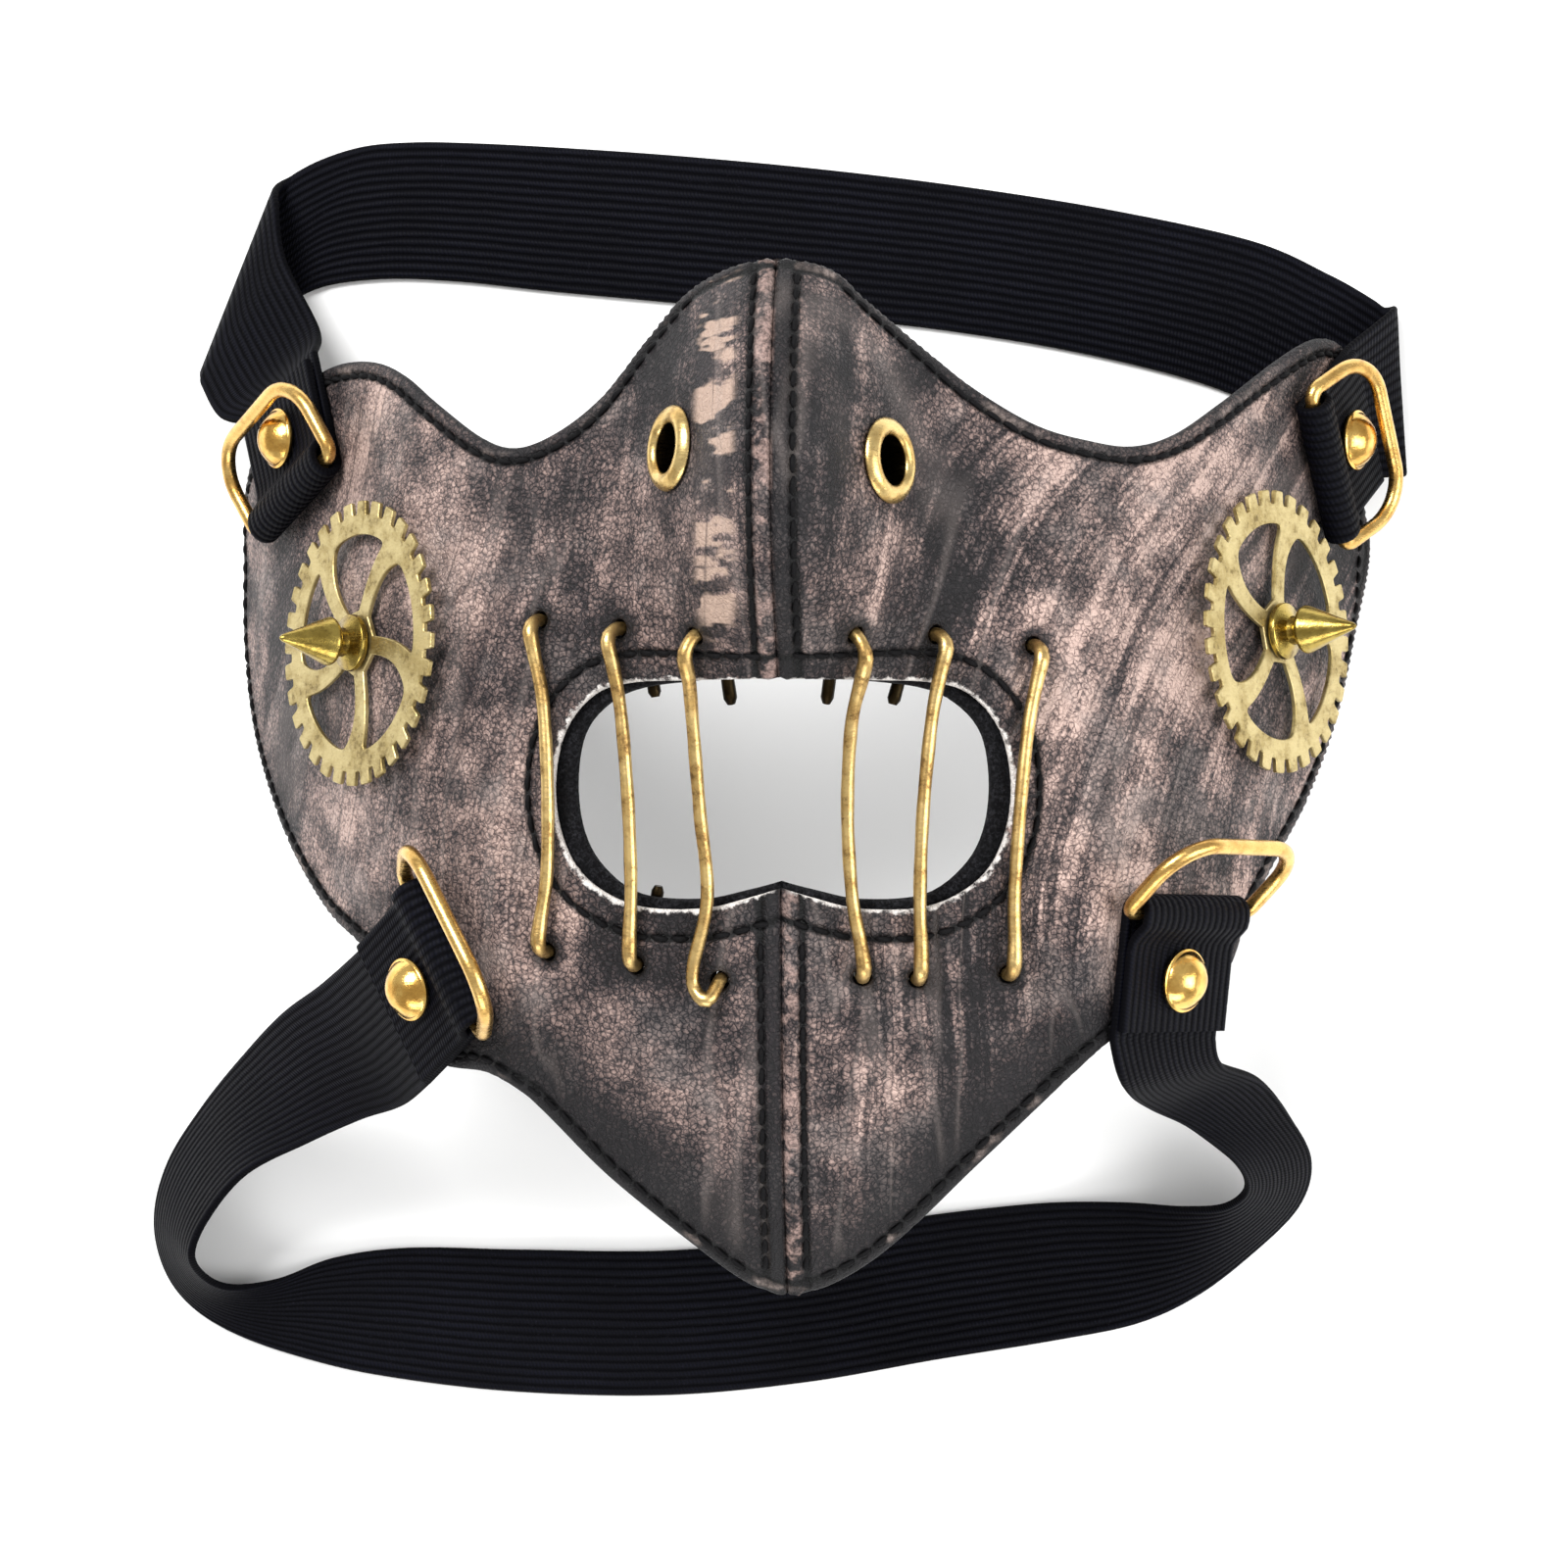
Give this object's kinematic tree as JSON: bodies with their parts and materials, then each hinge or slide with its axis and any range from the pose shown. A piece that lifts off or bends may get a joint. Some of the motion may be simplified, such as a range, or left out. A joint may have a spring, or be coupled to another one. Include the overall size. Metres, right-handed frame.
{
  "type": "half-face costume mask",
  "caption": "Stiff leather half-face costume mask with a wire-barred mouth opening, spiked gear ornaments on the cheeks, ring tabs and elastic head straps.",
  "frame": {"origin": "centre of the bounding box at the plane the mask lies on", "axes": "+Z out of the face, away from the table; +Y towards the nose; +X to the right seen from the front"},
  "size_m": [0.2128, 0.2138, 0.1109],
  "materials": {
    "bronzed_leather": "rubbed bronze over black, satin",
    "black_lining": "matt",
    "antique_brass": "antique, satin",
    "pale_brass": "pale antique, matt",
    "gold_brass": "polished",
    "black_elastic": "ribbed, matt"
  },
  "bodies": {
    "mask": {"panel_left": "bronzed_leather", "panel_right": "bronzed_leather", "lining_left": "black_lining", "lining_right": "black_lining", "seam_tape_nose": "black_lining", "seam_tape_chin": "black_lining", "mouth_wire_1": "antique_brass", "mouth_wire_2": "antique_brass", "mouth_wire_3": "antique_brass", "mouth_wire_4": "antique_brass", "mouth_wire_5": "antique_brass", "mouth_wire_6": "antique_brass", "eyelet_left": "antique_brass", "eyelet_right": "antique_brass", "eyelet_washer_left": "antique_brass", "eyelet_washer_right": "antique_brass", "spike_left": "antique_brass", "spike_right": "antique_brass", "spike_screw_left": "antique_brass", "spike_screw_right": "antique_brass", "rivet_upper_left": "gold_brass", "rivet_upper_right": "gold_brass", "rivet_lower_left": "gold_brass", "rivet_lower_right": "gold_brass", "rivet_cap_upper_left": "gold_brass", "rivet_cap_upper_right": "gold_brass", "rivet_cap_lower_left": "gold_brass", "rivet_cap_lower_right": "gold_brass", "upper_strap": "black_elastic", "lower_strap": "black_elastic"},
    "ring_upper_left_body": {"ring_upper_left": "antique_brass"},
    "ring_upper_right_body": {"ring_upper_right": "antique_brass"},
    "ring_lower_left_body": {"ring_lower_left": "antique_brass"},
    "ring_lower_right_body": {"ring_lower_right": "antique_brass"},
    "gear_left_body": {"gear_left": "pale_brass"},
    "gear_right_body": {"gear_right": "pale_brass"}
  },
  "joints": [
    {"name": "ring_upper_left_swing", "type": "hinge", "parent": "mask", "child": "ring_upper_left_body", "pos_m": [-0.07613, 0.04426, 0.03259], "axis": [-0.5572, -0.4059, -0.7244], "range_deg": [-142, 4]},
    {"name": "ring_upper_right_swing", "type": "hinge", "parent": "mask", "child": "ring_upper_right_body", "pos_m": [0.09129, 0.04801, 0.02574], "axis": [-0.2392, 0.838, 0.4904], "range_deg": [-130, 4]},
    {"name": "ring_lower_left_swing", "type": "hinge", "parent": "mask", "child": "ring_lower_left_body", "pos_m": [-0.04622, -0.02868, 0.07108], "axis": [0.4643, -0.8394, 0.2825], "range_deg": [-24, 138]},
    {"name": "ring_lower_right_swing", "type": "hinge", "parent": "mask", "child": "ring_lower_right_body", "pos_m": [0.06651, -0.02231, 0.06316], "axis": [0.6698, -0.0335, -0.7418], "range_deg": [-38, 124]},
    {"name": "gear_left_turn", "type": "hinge", "parent": "mask", "child": "gear_left_body", "pos_m": [-0.06084, 0.01917, 0.05437], "axis": [-0.7652, 0.0411, 0.6424], "continuous": true},
    {"name": "gear_right_turn", "type": "hinge", "parent": "mask", "child": "gear_right_body", "pos_m": [0.08066, 0.02117, 0.04291], "axis": [0.8277, 0.0408, 0.5596], "continuous": true}
  ]
}
